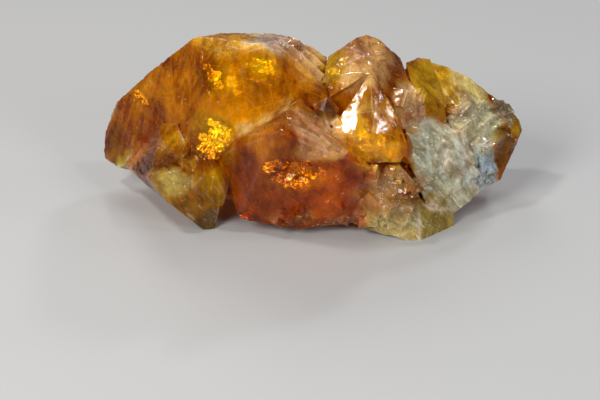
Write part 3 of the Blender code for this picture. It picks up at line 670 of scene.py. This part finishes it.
def flake_places(dice, seats):
    """Places for flakes, first the swarms and then all over, each with the way that it leans."""
    places = []
    for centre, reach, number in SWARMS:
        for _ in range(number):
            away = Vector([dice.gauss(0.0, SWARM_SPREAD * reach) for _ in range(3)])
            places.append(((Vector(centre) + Vector(SHIFT) + away) * MM, SWARM_WAY))
    for _ in range(FLAKES * FLAKE_TRIES):
        seat, normal = seats[dice.randrange(len(seats))]
        places.append((seat - normal * dice.uniform(*FLAKE_DEPTHS) * MM, normal))
    return places


def flake(bm, place, turn, reaches, thick):
    """One flat flake with a ragged rim and two low tips."""
    rim = []
    for step, reach in enumerate(reaches):
        angle = 2.0 * math.pi * step / len(reaches)
        way = Vector((math.cos(angle), math.sin(angle), 0.0))
        rim.append(bm.verts.new(place + turn @ way * reach))
    tips = [bm.verts.new(place + turn @ Vector((0.0, 0.0, side * thick))) for side in (1.0, -1.0)]
    for step in range(len(rim)):
        after = (step + 1) % len(rim)
        bm.faces.new((rim[step], rim[after], tips[0]))
        bm.faces.new((rim[after], rim[step], tips[1]))


def inner_flakes(tree, seats):
    """Tiny tilted crack flakes scattered under the faces."""
    dice = random.Random(FLAKE_SEED)
    most = FLAKES + sum(number for _, _, number in SWARMS)
    bm = bmesh.new()
    made = 0
    for place, normal in flake_places(dice, seats):
        size = dice.uniform(*FLAKE_SIZES) * MM
        lean = Vector([dice.uniform(-1.0, 1.0) for _ in range(3)])
        distance = tree.find_nearest(place)[3]
        if made == most or distance < size + FLAKE_MARGIN * MM or not buried(tree, place):
            continue
        turn = (normal + FLAKE_LEAN * lean).to_track_quat("Z", "Y").to_matrix()
        reaches = [size * dice.uniform(*FLAKE_RAGGED) for _ in range(FLAKE_CORNERS)]
        flake(bm, place, turn, reaches, FLAKE_THICK * size)
        made += 1
    mesh = bpy.data.meshes.new("inner flakes")
    bm.to_mesh(mesh)
    bm.free()
    return placed("inner_flakes", mesh)


class Graph:
    """Short names for building a material's nodes."""

    def __init__(self, name):
        self.material = bpy.data.materials.new(name)
        self.material.use_nodes = True
        self.nodes = self.material.node_tree.nodes
        self.links = self.material.node_tree.links
        self.shader = self.nodes["Principled BSDF"]

    def put(self, value, socket):
        """Links a socket to another, or sets its value."""
        if isinstance(value, bpy.types.NodeSocket):
            self.links.new(value, socket)
        else:
            socket.default_value = value

    def add(self, kind, **inputs):
        node = self.nodes.new(kind)
        for name, value in inputs.items():
            self.put(value, node.inputs[name.replace("_", " ")])
        return node

    def place(self):
        return self.add("ShaderNodeTexCoord").outputs["Object"]

    def stored(self, name, output="Fac"):
        """A value that the mesh's points carry."""
        node = self.add("ShaderNodeAttribute")
        node.attribute_name = name
        return node.outputs[output]

    def math(self, operation, first, second=0.5, clamp=False):
        node = self.add("ShaderNodeMath")
        node.operation = operation
        node.use_clamp = clamp
        self.put(first, node.inputs[0])
        self.put(second, node.inputs[1])
        return node.outputs[0]

    def product(self, first, second):
        """The product of two values, kept between 0 and 1."""
        return self.math("MULTIPLY", first, second, True)

    def noise(self, place, name, detail=3.0, distortion=0.0):
        node = self.add("ShaderNodeTexNoise", Vector=place, Scale=CELLS[name], Detail=detail,
                        Distortion=distortion)
        return node.outputs["Fac"]

    def cells(self, place, name):
        """Distance to the nearest of many scattered points."""
        return self.add("ShaderNodeTexVoronoi", Vector=place, Scale=CELLS[name]).outputs["Distance"]

    def ramp(self, value, *stops):
        """A range of a value, two stops, mapped to another range, two stops."""
        node = self.add("ShaderNodeMapRange", Value=value)
        for name, stop in zip(("From Min", "From Max", "To Min", "To Max"), stops):
            node.inputs[name].default_value = stop
        return node.outputs["Result"]

    def mix(self, share, first, second, blend="MIX"):
        """The second colour over the first one; the colour sockets are numbers 6 and 7."""
        node = self.add("ShaderNodeMix")
        node.data_type = "RGBA"
        node.blend_type = blend
        self.put(share, node.inputs[0])
        self.put(first, node.inputs[6])
        self.put(second, node.inputs[7])
        return node.outputs[2]

    def times(self, colour, factor):
        """A colour multiplied by another."""
        return self.mix(1.0, colour, (*factor, 1.0), "MULTIPLY")


def crack_material():
    """The golden flash of a crack inside the crystal."""
    g = Graph("golden crack")
    cloudy = g.noise(g.place(), "crack")
    g.put(g.mix(cloudy, *CRACK_COLOURS), g.shader.inputs["Base Color"])
    g.put(g.ramp(cloudy, 0.3, 0.7, 0.10, 0.30), g.shader.inputs["Roughness"])
    g.shader.inputs["Metallic"].default_value = CRACK_METALLIC
    return g.material


def grown_colour(g, place, tint, clear, crust, patches, cleaved):
    """The region's colour, streaked and patchy where it is clear, cleaved and mottled where pale."""
    stretch = g.add("ShaderNodeMapping", Vector=place, Scale=STREAK_SCALE).outputs["Vector"]
    streaks = g.ramp(g.noise(stretch, "streaks", 4.0, 0.3), 0.44, 0.60, 0.0, 0.75)
    colour = g.mix(g.product(streaks, clear), tint, g.times(tint, STREAK))
    colour = g.mix(g.product(g.ramp(patches, 0.42, 0.70, 0.0, 0.7), clear), colour, g.times(tint, RICH))
    grain = g.math("ADD", g.noise(cleaved, "cleaved grain", 5.0, 0.6), g.noise(place, "grain", 5.0, 0.8))
    mottle = g.ramp(grain, 0.80, 1.20, 0.0, 1.0)
    mottled = g.mix(mottle, g.times(tint, GRAIN_DARK), g.times(tint, GRAIN_PALE))
    colour = g.mix(g.ramp(clear, 0.25, 1.0, 0.9, 0.0), colour, mottled)
    amber = g.ramp(g.noise(place, "amber", 4.0, 1.2), 0.54, 0.66, 0.0, 0.75)
    colour = g.mix(g.product(amber, crust), colour, AMBER)
    colour = g.mix(g.ramp(clear, 0.5, 1.0, 0.0, 1.0), colour, g.times(colour, CLEAR))
    speckle = g.ramp(g.noise(place, "speckle"), 0.35, 0.65, 0.0, 1.0)
    return g.mix(speckle, g.times(colour, SPECKLE_DARK), g.times(colour, SPECKLE_PALE))


def cleavage_lines(g, place):
    """How strongly a fine cleavage line shows."""
    lines = 0.0
    for turn, scale, shift in CLEAVAGE:
        tilted = g.add("ShaderNodeMapping", Vector=place, Rotation=turn, Location=(shift,) * 3)
        tilted = tilted.outputs["Vector"]
        wave = g.add("ShaderNodeTexWave", Vector=tilted, Scale=scale, Distortion=0.6, Detail=2.0,
                     Detail_Scale=0.8)
        wave.wave_profile = "SAW"
        here = g.ramp(g.noise(tilted, "vein patches", 2.0), 0.50, 0.60, 0.0, 1.0)
        line = g.product(g.ramp(wave.outputs["Fac"], 0.93, 0.97, 0.0, 1.0), here)
        lines = g.math("MAXIMUM", line, lines)
    return lines


def speckled(g, place, colour, cloud, crust, cleaved):
    """The colour under dust, pale cleavage flecks and the grit of the crust."""
    dots = g.ramp(g.cells(place, "dust"), 0.07, 0.13, 0.7, 0.0)
    dusty = g.ramp(g.noise(place, "dust patches", 2.0), 0.44, 0.56, 0.0, 1.0)
    colour = g.mix(g.product(dots, dusty), colour, DUST)
    flecks = g.ramp(g.noise(cleaved, "flecks", 2.0), 0.60, 0.70, 0.0, 0.75)
    flecks = g.math("MULTIPLY", flecks, g.ramp(cloud, 0.45, 0.85, 0.10, 1.0))
    colour = g.mix(flecks, colour, FLECK)
    grit = g.product(g.ramp(g.cells(place, "grit"), 0.10, 0.28, 1.8, 0.0), crust)
    gritty = g.ramp(g.noise(place, "grit patches", 2.0), 0.46, 0.56, 0.0, 1.0)
    return g.mix(g.product(grit, gritty), colour, GRIT)


def crystal_bump(g, place, crust):
    """A fine tooth all over, with small grains on the crust."""
    grains = g.math("MULTIPLY", g.math("MULTIPLY", g.cells(place, "grit"), crust), BUMP_GRAINS)
    height = g.math("ADD", g.noise(place, "bump", 4.0), grains)
    bump = g.add("ShaderNodeBump", Strength=BUMP_STRENGTH, Distance=BUMP_DISTANCE, Height=height)
    return bump.outputs["Normal"]


def crystal_material():
    """Honey-orange crystal, clear in the gem and cloudy to pale on the wing."""
    g = Graph("scheelite")
    place = g.place()
    tint = g.stored("tint", "Color")
    cloud = g.stored("cloud")
    crust = g.stored("crust")
    clear = g.ramp(cloud, 0.45, 0.90, 1.0, 0.25)
    patches = g.noise(place, "patches", 4.0, 0.6)
    cleaved = g.add("ShaderNodeMapping", Vector=place, Rotation=CLEAVED_TURN, Scale=CLEAVED_SCALE)
    cleaved.vector_type = "TEXTURE"
    cleaved = cleaved.outputs["Vector"]

    colour = grown_colour(g, place, tint, clear, crust, patches, cleaved)
    veins = g.math("MULTIPLY", cleavage_lines(g, place), g.ramp(clear, 0.25, 1.0, 0.15, 0.34))
    vein = g.mix(1.0, tint, g.mix(clear, VEIN_PALE, VEIN_CLEAR), "MULTIPLY")
    colour = speckled(g, place, g.mix(veins, colour, vein), cloud, crust, cleaved)
    # Pale pinkish edges along the creases: partly worn chips, partly painted sheen
    worn_and_sheen = g.product(g.stored("edge"), g.ramp(g.noise(place, "worn_and_sheen"), 0.46, 0.62, 0.0, 0.75))
    worn_and_sheen = g.product(worn_and_sheen, g.ramp(cloud, 0.36, 0.62, 0.12, 1.0))
    worn_and_sheen = g.product(worn_and_sheen, g.ramp(crust, 0.14, 0.36, 1.0, 0.22))
    g.put(g.mix(worn_and_sheen, colour, WORN_AND_SHEEN), g.shader.inputs["Base Color"])

    haze = g.product(cloud, g.ramp(patches, 0.35, 0.70, 0.6, 1.7))
    haze = g.math("MAXIMUM", haze, g.ramp(cloud, 0.45, 0.92, 0.0, 0.96))
    haze = g.math("ADD", haze, g.product(worn_and_sheen, 0.4), True)
    g.put(g.math("SUBTRACT", 1.0, haze, True), g.shader.inputs["Transmission Weight"])
    uneven = g.ramp(g.noise(place, "roughness"), 0.35, 0.75, -0.04, 0.16)
    g.put(g.math("ADD", g.stored("gloss"), uneven, True), g.shader.inputs["Roughness"])
    g.put(g.stored("glint"), g.shader.inputs["Coat Weight"])
    g.put(crystal_bump(g, place, crust), g.shader.inputs["Normal"])
    for name, value in UNIFORM.items():
        g.shader.inputs[name].default_value = value
    inside = g.add("ShaderNodeVolumeAbsorption", Color=INSIDE_COLOUR, Density=INSIDE_DENSITY)
    g.put(inside.outputs["Volume"], g.nodes["Material Output"].inputs["Volume"])
    return g.material


camera()
studio()
bpy.context.scene.view_settings.view_transform = "Standard"
skin = thinned("crystal_skin", skin_mesh(), TRIANGLES)
dressed(skin)
skin.data.shade_smooth()
skin.data.set_sharp_from_angle(angle=math.radians(SHARP_ANGLE))
skin.data.materials.clear()
skin.data.materials.append(crystal_material())
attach(skin, "root")
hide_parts(NODE)
crack = crack_material()
tree, seats = skin_tree(skin)
for piece in (inner_leaves(tree), inner_flakes(tree, seats)):
    piece.data.materials.append(crack)
    piece.data.shade_smooth()
    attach(piece, "root")
